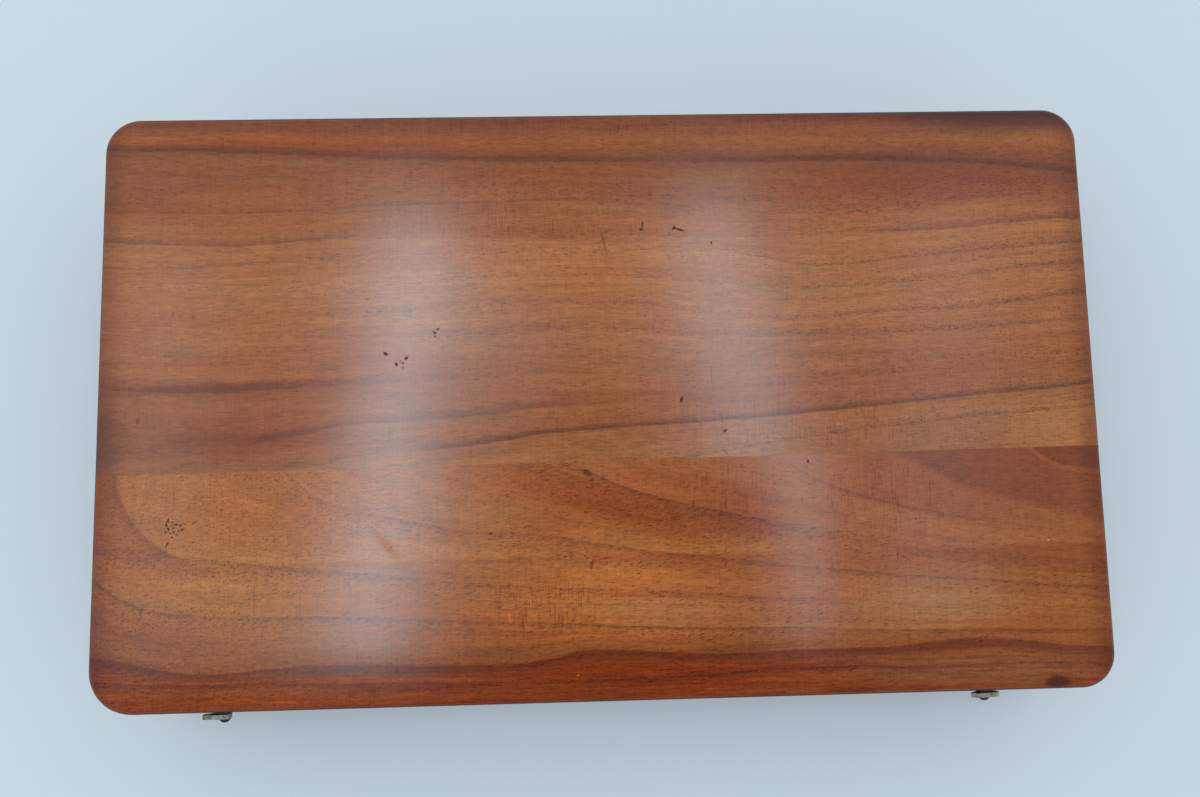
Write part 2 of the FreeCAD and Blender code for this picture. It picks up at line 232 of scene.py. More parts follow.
class Board:
    """Grain coordinates of a board: along, across and through, all in millimetres."""

    def __init__(self, graph, turn=0.0, seed=0.0):
        self.graph = graph
        self.seed = seed
        place = graph.millimetres()
        self.x, self.y, self.z = graph.split(place)
        turned = graph.turn(place, -turn)
        self.along, self.across, self.through = graph.split(turned)
        normal = graph.node("ShaderNodeTexCoord").outputs["Normal"]
        self.normal_z = graph.split(normal)[2]
        self.end_grain = graph.remap(abs(graph.split(graph.turn(normal, -turn))[0]), 0.6, 0.9)

    def noise(self, along, across, detail, roughness, number):
        """Noise stretched along the grain, with features of the given sizes."""
        return self.graph.noise(self.along / along, self.across / across, self.through / across, detail,
                                roughness, self.seed + number) - 0.5

    def ring_radius(self, pith_across, pith_through, dip, wobble):
        """Distance from the tree's heart, a line that dips through the board."""
        side = self.across - pith_across
        rise = self.through - (pith_through + dip * self.along)
        drift = self.noise(90, 28, 2.0, 0.45, 0) * wobble
        return self.graph.math("SQRT", side * side + rise * rise) + drift

    def on_top(self, pith_across, pith_depth, dip):
        """Where the ring through this point meets the lid's top, across the grain."""
        side = self.across - pith_across
        depth = lid_top - self.through
        sunk = depth * (depth - 2.0 * (pith_depth + dip * self.along))
        square = side * side + sunk
        reach = self.graph.math("SQRT", abs(square)) * self.graph.math("SIGN", square)
        return pith_across + reach * self.graph.math("SIGN", side)

    def pores(self, length, width, density, number=6, slant=0.0):
        """Short dark vessel lines: 1 inside one, 0 on plain wood."""
        graph = self.graph
        lean = self.noise(16, 9, 1.0, 0.5, 5) * 4 - self.along * slant
        gap, chance = graph.cells(self.along / length, (self.across + lean) / width, self.through / width,
                                  self.seed + number)
        body = graph.remap(gap, 0.16, 0.38, 1.0, 0.0)
        return body * graph.remap(chance / graph.math("MAXIMUM", density, 0.01), 0.5, 1.0, 1.0, 0.0)


PORE_TINT = (0.55, 0.47, 0.4)
END_GRAIN_TINT = (0.62, 0.54, 0.48)
SATIN = 0.42
RING_WOBBLE = 3.0


def plain_wood(name, tones, pith, ring_width, seed, turn=0.0, dip=0.05, pore_share=0.4, contrast=0.3):
    """Satin wood cut off the heart, with even rings ring_width apart. tones run from dark to light."""
    graph = Graph(name)
    board = Board(graph, turn, seed)
    radius = board.ring_radius(*pith, dip, RING_WOBBLE)
    phase = graph.math("FRACT", radius / ring_width)
    light = graph.remap(phase, 0.0, 0.9) * graph.remap(phase, 0.93, 1.0, 1.0, 0.0)
    cloud = board.noise(120, 22, 3.0, 0.5, 1)
    streak = board.noise(60, 1.6, 3.0, 0.6, 2)
    fibre = board.noise(6, 0.28, 2.0, 0.6, 3)
    value = 0.5 + (light - 0.6) * contrast + cloud * 0.6 + streak * 0.5 + fibre * 0.25
    places = [index / (len(tones) - 1) for index in range(len(tones))]
    colour = graph.ramp(value, list(zip(places, tones)))
    pores = board.pores(2.6, 0.42, pore_share * (1.2 - light))
    colour = graph.tint(colour, pores * 0.65, PORE_TINT)
    colour = graph.tint(colour, board.end_grain * 0.7, END_GRAIN_TINT)
    roughness = SATIN + streak * 0.1 + pores * 0.1 + board.end_grain * 0.15
    height = streak * 0.03 + fibre * 0.01 - pores * 0.03
    return graph.finish(colour, roughness, height)


# The lid

ALL_ALONG = ((-200.0, 200.0),)
Ring = namedtuple("Ring", "points dark fade pores reach runs", defaults=[ALL_ALONG])
# points: where the ring meets the lid's top, as (x, y). It starts at a crisp line as dark as dark says,
# which fades outwards over fade. pores: share of pores beyond the line, which thin out over reach.
# runs: stretches of x over which the line shows.

RING_SPAN = (-100.0, 100.0)  # the y that a ring's points lie between

# Rings of the lid's front board, from the heart of the tree outwards, which is towards the front
FRONT_RINGS = [
    Ring(dark=0.45, fade=1.2, pores=0.6, reach=3.0, runs=((58.0, 110.0),), points=[
        (-152, 60), (-60, 24), (40, -14), (54, -20), (65, -26), (76, -30.4), (97, -36), (152, -44)]),
    Ring(dark=0.6, fade=2.4, pores=1.5, reach=17.0, runs=((-8.0, 55.0),), points=[
        (-152, 40), (-92, 14), (-40, -7), (-14, -18.6), (-6, -21.6), (3, -25.6), (22, -31.6),
        (48, -37.7), (65, -40.8), (89, -43.9), (112, -48.2), (145, -52.2), (152, -53)]),
    Ring(dark=0.35, fade=1.6, pores=0.7, reach=9.0, points=[
        (-152, 12), (-110, -6), (-93, -22.4), (-86, -28.1), (-77, -31.7), (-59, -35.6), (-39, -39.1),
        (-21, -40.6), (3, -44.6), (40, -49.3), (85, -54.5), (152, -60)]),
    Ring(dark=0.35, fade=2.4, pores=0.75, reach=10.0, runs=((-128.0, 60.0),), points=[
        (-152, -41), (-134.6, -43), (-126.4, -44.5), (-113, -46.5), (-80, -50), (-35, -55), (20, -58.5),
        (70, -62), (152, -66)]),
    Ring(dark=0.5, fade=1.8, pores=0.7, reach=8.0, points=[
        (-152, -50), (-147, -54.5), (-141, -57.8), (-134, -60), (-123, -61.4), (-105, -62.5),
        (-84, -63.4), (-40, -65.5), (20, -68.5), (152, -73)]),
    Ring(dark=0.55, fade=4.4, pores=0.4, reach=5.0, points=[
        (-152, -73.2), (-145, -74.3), (-136, -76.5), (-127, -78.1), (-114, -78.9), (-96, -77.6),
        (-84, -77.2), (-38, -78.5), (-16.5, -77.3), (-10, -75.7), (3, -75.2), (16, -76), (30, -76.8),
        (60, -76.6), (85, -76.2), (98, -75), (108, -74.4), (122, -75.2), (143, -77.8), (152, -78.2)]),
    Ring(dark=0.26, fade=1.8, pores=0.5, reach=4.0, points=[
        (-152, -80), (-136, -81.1), (-91, -82.3), (-20, -83.2), (12, -83.2), (60, -81.5), (110, -81.8),
        (152, -83)]),
    Ring(dark=0.0, fade=1.0, pores=0.0, reach=1.0, points=[
        (-152, -90), (152, -90)]),
]
FRONT_TONES = [
    (0.0, tone(152, 88, 48)), (0.98, tone(158, 92, 49)), (1.1, tone(152, 84, 40)),
    (1.8, tone(168, 102, 50)), (2.1, tone(164, 98, 48)), (2.9, tone(172, 107, 53)),
    (3.1, tone(168, 103, 52)), (4.0, tone(170, 105, 52)), (4.2, tone(164, 98, 48)),
    (4.9, tone(154, 90, 45)), (5.1, tone(140, 71, 36)), (5.7, tone(146, 75, 36)),
    (6.1, tone(137, 70, 36)), (6.6, tone(150, 77, 35)), (7.0, tone(140, 66, 32)),
]

# Rings of the lid's back board, from the seam towards the back
BACK_RINGS = [
    Ring(dark=0.2, fade=1.6, pores=0.8, reach=4.0, points=[
        (-152, -40), (-60, -34), (30, -18), (50, -14.5), (75, -11.5), (105, -8.5), (130, -6.8),
        (152, -5)]),
    Ring(dark=0.85, fade=2.4, pores=0.35, reach=7.0, runs=((-56.0, 200.0),), points=[
        (-152, -28), (-90, -20.4), (-56, -15), (-38, -13.2), (-21, -10.8), (0, -9.2), (21, -8.1),
        (45, -6.6), (66, -5.2), (88, -3.6), (106, -2.1), (124, -0.7), (152, 1.9)]),
    Ring(dark=0.5, fade=2.9, pores=0.3, reach=9.0, runs=((-200.0, -70.0),), points=[
        (-152, 6.5), (-138, 4.9), (-121, 4.5), (-107, 4.8), (-79, 5.8), (-50, 6.3), (0, 3.5), (50, 3),
        (100, 6.5), (152, 11)]),
    Ring(dark=0.26, fade=2.6, pores=0.6, reach=4.0, runs=((45.0, 200.0),), points=[
        (-152, 20), (-125, 18.7), (-50, 20), (0, 21), (50, 18), (100, 19), (152, 22)]),
    Ring(dark=0.26, fade=2.6, pores=0.7, reach=4.0, runs=((45.0, 200.0),), points=[
        (-152, 28), (-100, 27), (0, 29), (60, 23.5), (89, 25.2), (111, 25.9), (148, 29.6)]),
    Ring(dark=0.26, fade=2.6, pores=0.7, reach=4.0, runs=((45.0, 200.0),), points=[
        (-152, 36.8), (-128, 36), (-114, 35), (-99, 35), (0, 38), (60, 33), (75, 33.8), (101, 34.8),
        (134, 38.6), (152, 39.6)]),
    Ring(dark=0.35, fade=1.6, pores=0.8, reach=4.0, runs=((-200.0, -100.0), (45.0, 200.0)), points=[
        (-152, 42.8), (-135, 42.3), (-121, 42.7), (-108, 43.4), (0, 45.4), (16, 45.7), (44, 44.5),
        (65, 40.6), (98, 42.6), (120, 44.4), (152, 46.6)]),
    Ring(dark=0.55, fade=2.8, pores=0.4, reach=6.0, runs=((-200.0, -70.0), (85.0, 200.0)), points=[
        (-152, 51.1), (-136, 50.2), (-115, 49.6), (-101, 49.8), (-79, 51), (-51, 51), (0, 50),
        (30, 49.6), (60, 49.4), (76, 50.3), (113, 51.6), (131, 53.1), (152, 54.3)]),
    Ring(dark=0.45, fade=1.6, pores=0.7, reach=15.0, runs=((-200.0, 20.0),), points=[
        (-152, 60), (-143, 59.9), (-123, 59.6), (-104, 59.6), (-87, 60.1), (-65, 61.3), (-34, 61.8),
        (0, 61.6), (30, 58), (58, 57), (98, 58.1), (121, 61.3), (152, 62.3)]),
    Ring(dark=0.45, fade=2.6, pores=0.25, reach=9.0, points=[
        (-152, 80), (-115, 79.2), (-87, 77.8), (-46, 75.6), (-12, 75), (30, 74), (105, 73.2), (136, 71),
        (152, 68.6)]),
    Ring(dark=0.0, fade=1.0, pores=0.0, reach=1.0, points=[
        (-152, 90), (152, 90)]),
]
BACK_TONES = [
    (0.0, tone(158, 98, 54)), (0.98, tone(156, 96, 53)), (1.1, tone(152, 92, 52)),
    (2.0, tone(150, 88, 50)), (2.15, tone(152, 90, 50)), (3.0, tone(158, 97, 56)),
    (5.0, tone(163, 103, 60)), (6.9, tone(161, 101, 58)), (7.15, tone(156, 93, 51)),
    (7.9, tone(152, 89, 48)), (8.2, tone(146, 84, 44)), (8.92, tone(138, 79, 41)),
    (9.05, tone(118, 62, 34)), (9.3, tone(142, 80, 38)), (9.45, tone(148, 84, 38)),
    (9.7, tone(132, 70, 34)), (10.0, tone(122, 62, 32)),
]

Patch = namedtuple("Patch", "x y length width turn soft")
# An ellipse on the lid's top, turned by turn degrees. soft: share of its reach over which it fades out.

# Broad changes of tone: a tint, and the patch that it covers. Most are the wood's own tone; the lighter,
# bluish ones are painted sheen, a haze of reflected lamp light painted into the colour.
FRONT_TONE_AND_SHEEN_ZONES = [
    ((0.95, 0.71, 0.48), Patch(10, -82, 150, 16, 0, 0.8)),
    ((1.12, 1.1, 0.72), Patch(-116, -84, 130, 18, 0, 0.8)),
    ((0.88, 0.9, 0.88), Patch(-127, -69, 62, 6, -5, 0.8)),
    ((0.8, 0.68, 0.55), Patch(11, -36, 116, 20, -14, 0.9)),
    ((1.12, 1.2, 1.1), Patch(-130, -52, 66, 24, 0, 0.9)),
    ((1.0, 1.18, 1.6), Patch(106, -54, 66, 26, 0, 0.9)),
    ((1.25, 1.36, 1.45), Patch(4, -59, 112, 34, 0, 0.9)),
    ((1.05, 1.38, 2.0), Patch(97, -64, 76, 26, 0, 0.9)),
    ((1.02, 1.56, 2.6), Patch(114, -83, 110, 22, 0, 0.8)),
    ((0.92, 0.95, 0.97), Patch(-55, -30, 72, 24, -10, 0.9)),
    ((1.12, 1.1, 1.05), Patch(-38, -62, 70, 24, 0, 0.9)),
    ((1.0, 1.14, 1.6), Patch(22, -64, 60, 22, 0, 0.9)),
    ((0.92, 0.97, 1.04), Patch(122, -36, 60, 26, -8, 0.9)),
    ((0.93, 0.73, 0.52), Patch(42, -36, 40, 20, -14, 0.8)),
    ((1.17, 1.24, 1.18), Patch(-100, -56, 90, 24, 0, 0.9)),
    ((1.2, 1.2, 1.3), Patch(0, -54, 60, 20, 0, 0.9)),
    ((0.86, 0.84, 0.82), Patch(-18, -37, 30, 12, -8, 0.9)),
    ((1.2, 1.22, 1.2), Patch(4, -70, 80, 8, 0, 0.8)),
    ((0.8, 0.75, 0.7), Patch(-32, -75, 40, 5, 0, 0.8)),
    ((0.76, 0.7, 0.66), Patch(38, -75.5, 40, 5, 0, 0.8)),
]
# The back board's changes of tone; its lighter, bluish tints are painted sheen as well.
BACK_TONE_AND_SHEEN_ZONES = [
    ((0.76, 0.68, 0.68), Patch(-114, -11, 100, 24, 3, 0.9)),
    ((0.72, 0.62, 0.62), Patch(-118, 5.4, 96, 5.5, 0.6, 0.9)),
    ((1.1, 0.78, 0.5), Patch(-90, 81, 170, 10, -2, 0.8)),
    ((1.16, 1.18, 1.1), Patch(-90, -14.5, 32, 7, 5, 0.8)),
    ((1.05, 1.1, 1.34), Patch(34, -11, 96, 24, 2, 0.9)),
    ((0.7, 0.58, 0.5), Patch(-159, -12, 40, 40, 0, 0.6)),
    ((0.98, 1.11, 1.28), Patch(125, -8, 110, 24, 4, 0.8)),
    ((0.93, 0.88, 0.9), Patch(-5, 51.5, 130, 9, 0, 0.9)),
    ((0.54, 0.45, 0.43), Patch(120, 91, 290, 14, -1, 0.7)),
    ((0.5, 0.38, 0.38), Patch(132, 88, 100, 15, 0, 0.8)),
    ((0.8, 0.56, 0.42), Patch(112, 69, 140, 24, 0, 0.9)),
    ((1.04, 0.96, 0.82), Patch(0, 35, 120, 26, 0, 0.9)),
    ((0.93, 0.93, 0.9), Patch(146, 36, 44, 36, 0, 0.9)),
    ((1.08, 1.07, 1.05), Patch(-5, 47, 150, 34, 0, 0.9)),
    ((0.92, 0.93, 0.95), Patch(-128, 70, 60, 24, 0, 0.9)),
]

NICK_TINT = (0.2, 0.15, 0.13)
RED_TINT = (0.85, 0.3, 0.32)
SPECK_TINT = (2.6, 2.9, 3.4)
KNOT_TINT = (0.5, 0.34, 0.3)
STAIN_TINT = (0.4, 0.34, 0.32)
BRUISE_TINT = (0.45, 0.38, 0.36)
LONG_SCRATCH_TINT = (0.45, 0.38, 0.36)
FAINT_SCRATCH_TINT = (0.5, 0.42, 0.4)
SCRATCH_TINT = (0.4, 0.33, 0.3)
DARK_SCRATCH_TINT = (0.36, 0.3, 0.28)
DEEP_SCRATCH_TINT = (0.32, 0.26, 0.24)
PALE_SCRATCH_TINT = (1.7, 1.8, 1.9)
SPECKLE_TURN = 2.4  # radians from one nick of a cluster to the next


def speckles(x, y, count, spread):
    """A loose cluster of small nicks."""
    marks = []
    for number in range(count):
        angle = SPECKLE_TURN * number
        reach = spread * math.sqrt(number / count)
        size = 0.9 + 0.35 * math.sin(5.0 * number)
        nick_x = x + reach * math.cos(angle)
        nick_y = y + reach * math.sin(angle)
        marks.append((NICK_TINT, Patch(nick_x, nick_y, size * 1.5, size * 0.8, 70.0 * number, 0.7)))
    return marks


# Small marks of use on each board: a tint and a patch each
FRONT_MARKS = [
    (NICK_TINT, Patch(62, -20.5, 1.6, 0.7, 100, 0.6)),
    (NICK_TINT, Patch(94, -38.8, 1.1, 0.7, -30, 0.6)),
    (NICK_TINT, Patch(16, -75, 1.5, 0.6, 80, 0.6)),
    *speckles(-128.6, -35.8, 16, 3.0),
    (NICK_TINT, Patch(-130.4, -41, 2.6, 0.7, 60, 0.7)),
    (KNOT_TINT, Patch(-5.4, -22.3, 4.8, 2.6, -25, 0.8)),
    (NICK_TINT, Patch(53.5, -68.5, 1.2, 0.6, 20, 0.7)),
    (LONG_SCRATCH_TINT, Patch(-104.5, -58, 16, 0.4, 89, 0.8)),
    (FAINT_SCRATCH_TINT, Patch(-91, -60, 14, 0.4, 91, 0.8)),
    (RED_TINT, Patch(-4.5, -50, 4.2, 1.3, 75, 0.7)),
    (RED_TINT, Patch(75.5, -49, 1.6, 0.8, 40, 0.8)),
    (RED_TINT, Patch(88, -49, 6.0, 0.6, 80, 0.8)),
    (RED_TINT, Patch(-75, -22, 2.4, 0.6, 80, 0.8)),
    (SPECK_TINT, Patch(134.3, -46, 0.8, 0.6, 90, 0.8)),
    (SPECK_TINT, Patch(-9.3, -82, 0.9, 0.8, 0, 0.8)),
    (PALE_SCRATCH_TINT, Patch(-29.2, -65, 6.5, 0.35, -76, 0.8)),
    (STAIN_TINT, Patch(134.2, -88.4, 9.5, 5.5, 0, 0.5)),
]
BACK_MARKS = [
    (NICK_TINT, Patch(13.5, 54.2, 3.0, 0.8, 84, 0.6)),
    (NICK_TINT, Patch(13.1, 52.5, 2.0, 1.4, 20, 0.7)),
    (NICK_TINT, Patch(23.2, 52.9, 2.2, 1.1, 60, 0.6)),
    (NICK_TINT, Patch(25.0, 52.3, 4.2, 1.0, -18, 0.6)),
    (NICK_TINT, Patch(34.8, 48.2, 1.5, 0.8, 80, 0.7)),
    (NICK_TINT, Patch(24, -0.8, 2.8, 1.1, 70, 0.6)),
    (NICK_TINT, Patch(37, -10.4, 1.8, 0.9, 30, 0.7)),
    (NICK_TINT, Patch(-66, 15.3, 2.2, 1.1, -40, 0.6)),
    *speckles(-60.8, 12.2, 5, 2.2),
    *speckles(-51, 21.6, 4, 1.6),
    (NICK_TINT, Patch(-71.5, 32.3, 1.2, 0.6, -10, 0.7)),
    (BRUISE_TINT, Patch(-140, -4, 2.6, 1.6, 80, 0.7)),
    (DEEP_SCRATCH_TINT, Patch(1.3, 49, 12.8, 0.5, -75, 0.8)),
    (SCRATCH_TINT, Patch(33.4, 6.6, 10, 0.5, 91, 0.8)),
    (DARK_SCRATCH_TINT, Patch(36.8, -16.9, 5.4, 0.6, -47, 0.8)),
]

# Where fine lines across the grain are plainest
FRONT_HAIRS = [
    Patch(36, -29, 44, 30, 0, 0.8),
    Patch(84, -33, 60, 36, 0, 0.8),
    Patch(-20, -62, 60, 30, 0, 0.9),
]
BACK_HAIRS = [
    Patch(-30, 56, 130, 14, 0, 0.8),
    Patch(0, 88, 330, 10, 0, 0.8),
    Patch(60, -8, 130, 22, 0, 0.8),
]

# Where the varnish is rubbed dull
FRONT_RUBS = [Patch(-65.5, -43, 16, 4.5, -48, 1.0)]

Plank = namedtuple("Plank", "rings outward tones figure zones marks hairs rubs pores pith warp slant seed")
# outward: 1 where rings grow towards +Y, -1 towards -Y. pores: share of pores away from the rings.
# pith: the heart's y, its depth under the lid's top and its slope. warp: height of the plank's slow rise.
# slant: how far the pores rise across the grain for each millimetre along it.


def patch_share(graph, place, patch):
    """1 inside the patch's ellipse, falling to 0 at its edge."""
    mapped = graph.node("ShaderNodeMapping", {"Vector": place}, vector_type="TEXTURE")
    mapped.inputs["Location"].default_value = (patch.x, patch.y, 0.0)
    mapped.inputs["Rotation"].default_value = (0.0, 0.0, math.radians(patch.turn))
    mapped.inputs["Scale"].default_value = (patch.length / 2, patch.width / 2, 1.0)
    reach = graph.node("ShaderNodeVectorMath", {0: mapped.outputs[0]}, operation="LENGTH")
    return graph.remap(graph.field(reach.outputs["Value"]), 1.0 - patch.soft, 1.0, 1.0, 0.0)


def lid_curve(graph, x, points):
    """The y of a smooth line over the lid, through (x, y) points."""
    return graph.curve(x, points, -half_length, half_length, *RING_SPAN)


def ring_level(graph, y, curves):
    """Ring count: 0 at the first curve, 1 at the next, and growing evenly between them."""
    level = 0.0
    for curve, following in zip(curves, curves[1:]):
        level = graph.remap((curve - y) / (curve - following), 0.0, 1.0, smooth=False) + level
    return level


LINE_START = (-0.3, 0.15)  # millimetres past a ring over which its line comes up
RUN_BEGIN = 8.0  # half the length over which a run of a line comes up
RUN_END = 25.0  # half the length over which it dies away
ROW_WIDTH = (0.2, 1.8)  # millimetres past a ring over which its row of close pores thins out
ROW_SHARE = 0.5


def ring_marks(graph, x, y, plank, curves):
    """Darkness of the ring lines and share of pores at a point."""
    dark = 0.0
    pores = plank.pores
    for ring, curve in zip(plank.rings, curves):
        past = (y - curve) * plank.outward
        start = graph.remap(past, *LINE_START)
        line = start * graph.remap(past, 0.1, ring.fade, ring.dark, 0.0)
        for first, last in ring.runs:
            begun = graph.remap(x, first - RUN_BEGIN, first + RUN_BEGIN)
            dark = line * begun * graph.remap(x, last - RUN_END, last + RUN_END, 1.0, 0.0) + dark
        row = graph.remap(past, *ROW_WIDTH, ring.pores * ROW_SHARE, 0.0)
        pores = start * (graph.remap(past, 0.0, ring.reach, ring.pores, 0.0) + row) + pores
    return dark, pores


# The round arc at the front board's left end
ARC_CENTRE = (-115.0, -18.0)
ARC_RADII = (30.8, 29.0)
ARC_SIZE = 30.0
ARC_FRONT = (-47.0, -43.0)  # the y over which its line comes up
OUTSIDE_ARC_TINT = (0.84, 0.74, 0.66)
ARC_LINE_TINT = (0.6, 0.52, 0.5)


def left_arc(graph, x, y, colour):
    """Darker wood outside the left end's arc, with a dark line along it."""
    side = graph.math("MINIMUM", x - ARC_CENTRE[0], 0.0) / ARC_RADII[0]
    rise = graph.math("MINIMUM", y - ARC_CENTRE[1], 0.0) / ARC_RADII[1]
    outside = (graph.math("SQRT", side * side + rise * rise) - 1.0) * ARC_SIZE
    behind = graph.remap(y, *ARC_FRONT)
    line = graph.remap(outside, -0.4, 0.3) * graph.remap(outside, 0.3, 3.5, 1.0, 0.0) * behind
    colour = graph.tint(colour, graph.remap(outside, -0.5, 1.5), OUTSIDE_ARC_TINT)
    return graph.tint(colour, line * 0.7, ARC_LINE_TINT)


# The heartwood at the front board's right end, and the pale arc in it
HEARTWOOD_EDGE = [(-152, 30), (60, -14), (86, -19), (98, -23.5), (106, -28), (116, -32), (130, -35.5),
                  (152, -41)]
HEARTWOOD_ARC = [(-152, 60), (100, 4), (120, -9), (131, -18), (137, -22.2), (144, -24.4), (152, -25)]
HEARTWOOD_TINT = (0.76, 0.63, 0.64)
INNER_HEARTWOOD_TINT = (0.8, 0.78, 0.7)
PALE_ARC_TINT = (1.24, 1.28, 1.2)


def right_heartwood(graph, x, y, colour):
    """Dark heartwood at the right end, with a pale arc in it."""
    past_edge = y - lid_curve(graph, x, HEARTWOOD_EDGE)
    past_arc = y - lid_curve(graph, x, HEARTWOOD_ARC)
    colour = graph.tint(colour, graph.remap(past_edge, -1.5, 2.5), HEARTWOOD_TINT)
    colour = graph.tint(colour, graph.remap(past_arc, 0.4, 1.4), INNER_HEARTWOOD_TINT)
    return graph.tint(colour, graph.remap(abs(past_arc), 0.3, 1.2, 1.0, 0.0), PALE_ARC_TINT)


FLECK_BAND = (-76.0, -79.5)  # the y over which the flecks come up
FLECK_SEED = 61.0
LIGHT_FLECK_TINT = (1.22, 1.3, 1.26)
DARK_FLECK_TINT = (0.82, 0.75, 0.72)


def front_flecks(graph, x, y, colour):
    """Light and dark flecks in the band along the front."""
    fleck = graph.noise(x / 13, y / 0.75, 0.0, 2.0, 0.6, FLECK_SEED)
    in_band = graph.remap(y, *FLECK_BAND)
    colour = graph.tint(colour, graph.remap(fleck, 0.54, 0.68) * in_band, LIGHT_FLECK_TINT)
    return graph.tint(colour, graph.remap(fleck, 0.46, 0.34) * in_band, DARK_FLECK_TINT)


def front_figure(graph, x, y, colour):
    """The front board's own figure, besides its rings."""
    for layer in (left_arc, right_heartwood, front_flecks):
        colour = layer(graph, x, y, colour)
    return colour


LENS_LIMB = [(-152, -26), (-118, -17), (-107, -11.8), (-93, -9.6), (-79, -6.8), (-58, -5.5), (-35, -3.9),
             (-19, -2.4), (-7, -2.0), (152, 2)]
LENS_LEFT = (-112.0, -104.0)  # the x over which the limb comes up
LENS_RIGHT = (-20.0, 15.0)  # the x over which it dies away
LENS_TINT = (0.74, 0.68, 0.66)


def back_lens(graph, x, y, colour):
    """Dark upper limb of the long lens figure above the seam."""
    past = y - lid_curve(graph, x, LENS_LIMB)
    line = graph.remap(past, -0.5, 0.3) * graph.remap(past, 0.3, 4.0, 1.0, 0.0)
    ends = graph.remap(x, *LENS_LEFT) * graph.remap(x, *LENS_RIGHT, 1.0, 0.0)
    return graph.tint(colour, line * ends, LENS_TINT)


CLOUD_TINT = (0.98, 0.9, 0.84)
BAND_TINT = (0.94, 0.86, 0.82)
RING_LINE_TINT = (0.44, 0.33, 0.3)
FINE_PORE_TINT = (0.55, 0.35, 0.22)
COARSE_PORE_TINT = (0.5, 0.33, 0.22)
DOT_TINT = (0.5, 0.36, 0.27)
HAIR_TINT = (0.66, 0.54, 0.46)
LONG_EDGE_TINT = (0.9, 0.82, 0.76)
END_EDGE_TINT = (0.67, 0.55, 0.47)
# Painted shade, as tints: the rounded rim darkened for the shade on it, and the sides a little darker.
RIM_PAINTED_SHADE_TINT = (0.24, 0.17, 0.15)
SIDE_PAINTED_SHADE_TINT = (0.72, 0.6, 0.52)
SPARSE_END = (-120.0, -30.0)  # the x, times outward, over which pores grow closer
DOTTED_END = (40.0, 130.0)  # the x, times outward, over which dots come up
LEAST_HAIRS = 0.25  # share of the fine cross lines outside their patches
RUB_DULLNESS = 0.12
VARNISH = 0.19  # roughness of clean varnish
FRONT_ROLL = (-92.0, -66.0)  # the y over which the lid's face rolls up from its front edge
ROLL_HEIGHT = 0.7
WARP_RISE = (-10.0, 75.0)  # the x over which a warped board rises

Grain = namedtuple("Grain", "cloud band streak mottle fibre cross")


def lid_grain(graph, board, level):
    """Noise in the lid's wood, from wide clouds down to fibres and the fine lines across them."""
    x, y, z = board.x, board.y, board.z
    return Grain(
        cloud=board.noise(70, 16, 3.0, 0.5, 1),
        band=graph.noise(x / 80, level * 2.3, z / 80, 2.0, 0.5, board.seed + 16),
        streak=graph.noise(x / 45, level * 7.0, z / 45, 3.0, 0.6, board.seed + 2) - 0.5,
        mottle=board.noise(11, 2.0, 2.0, 0.6, 15),
        fibre=board.noise(3.0, 0.45, 3.0, 0.65, 3),
        cross=graph.noise(x / 0.6, y / 6, z / 6, 3.0, 0.65, board.seed + 4) - 0.5,
    )


def ring_colour(graph, board, plank, place, level):
    """Colour of the rings, with broad changes of tone and painted sheen where the board faces up."""
    colour = graph.ramp(level, plank.tones, 0.0, len(plank.rings) - 1.0)
    zoned = colour
    for tint, patch in plank.zones:
        zoned = graph.tint(zoned, patch_share(graph, place, patch), tint)
    return graph.mix(graph.remap(board.normal_z, 0.1, 0.6), colour, zoned)


def add_grain(graph, grain, colour):
    """The grain's lighter and darker streaks."""
    colour = graph.tint(colour, graph.remap(grain.cloud, -0.12, 0.16), CLOUD_TINT)
    colour = graph.tint(colour, graph.remap(grain.band, 0.4, 0.62), BAND_TINT)
    detail = grain.streak * 0.6 + grain.mottle * 0.35 + grain.fibre * 1.3 + grain.cross * 0.5
    return graph.scale(colour, 1.02 + grain.cloud * 0.3 + detail)


def add_ring_lines(graph, board, dark, colour):
    """Dark ring lines, fainter here and there along their length."""
    breaks = graph.remap(board.noise(34, 7, 2.0, 0.5, 7), -0.14, 0.12, 0.8, 1.0)
    return graph.tint(colour, dark * breaks, RING_LINE_TINT)


def add_pores(graph, board, plank, share, colour):
    """Fine and coarse pores, fewer at one end of the board, with rounder dots at the other."""
    toward_dots = board.x * plank.outward
    share = share * graph.remap(toward_dots, *SPARSE_END, 0.45, 1.0)
    dot_share = graph.remap(toward_dots, *DOTTED_END) * share * 1.5
    fine = board.pores(2.0, 0.4, share, 6, plank.slant)
    coarse = board.pores(3.0, 0.46, share * 0.8 - 0.3, 11, plank.slant)
    dots = board.pores(1.0, 0.62, dot_share, 12)
    colour = graph.tint(colour, fine, FINE_PORE_TINT)
    colour = graph.tint(colour, coarse, COARSE_PORE_TINT)
    return graph.tint(colour, dots, DOT_TINT)


def add_hairs(graph, board, plank, place, colour):
    """Fine dark lines across the grain."""
    share = LEAST_HAIRS
    for patch in plank.hairs:
        share = patch_share(graph, place, patch) + share
    hair = graph.noise(board.x / 0.36, board.y / 8, board.z / 8, 2.0, 0.7, board.seed + 14)
    return graph.tint(colour, graph.remap(hair, 0.54, 0.68) * share, HAIR_TINT)


def add_marks(graph, board, plank, place, colour):
    """Marks of use on the lid's top. Gives the colour, and how dull the varnish is."""
    on_top = graph.remap(board.z, lid_top - 1.5, lid_top - 0.6)
    dull = 0.0
    for tint, patch in plank.marks:
        share = patch_share(graph, place, patch) * on_top
        colour = graph.tint(colour, share, tint)
        if tint == NICK_TINT:
            dull = share + dull
    for patch in plank.rubs:
        dull = patch_share(graph, place, patch) * on_top * RUB_DULLNESS + dull
    return colour, dull


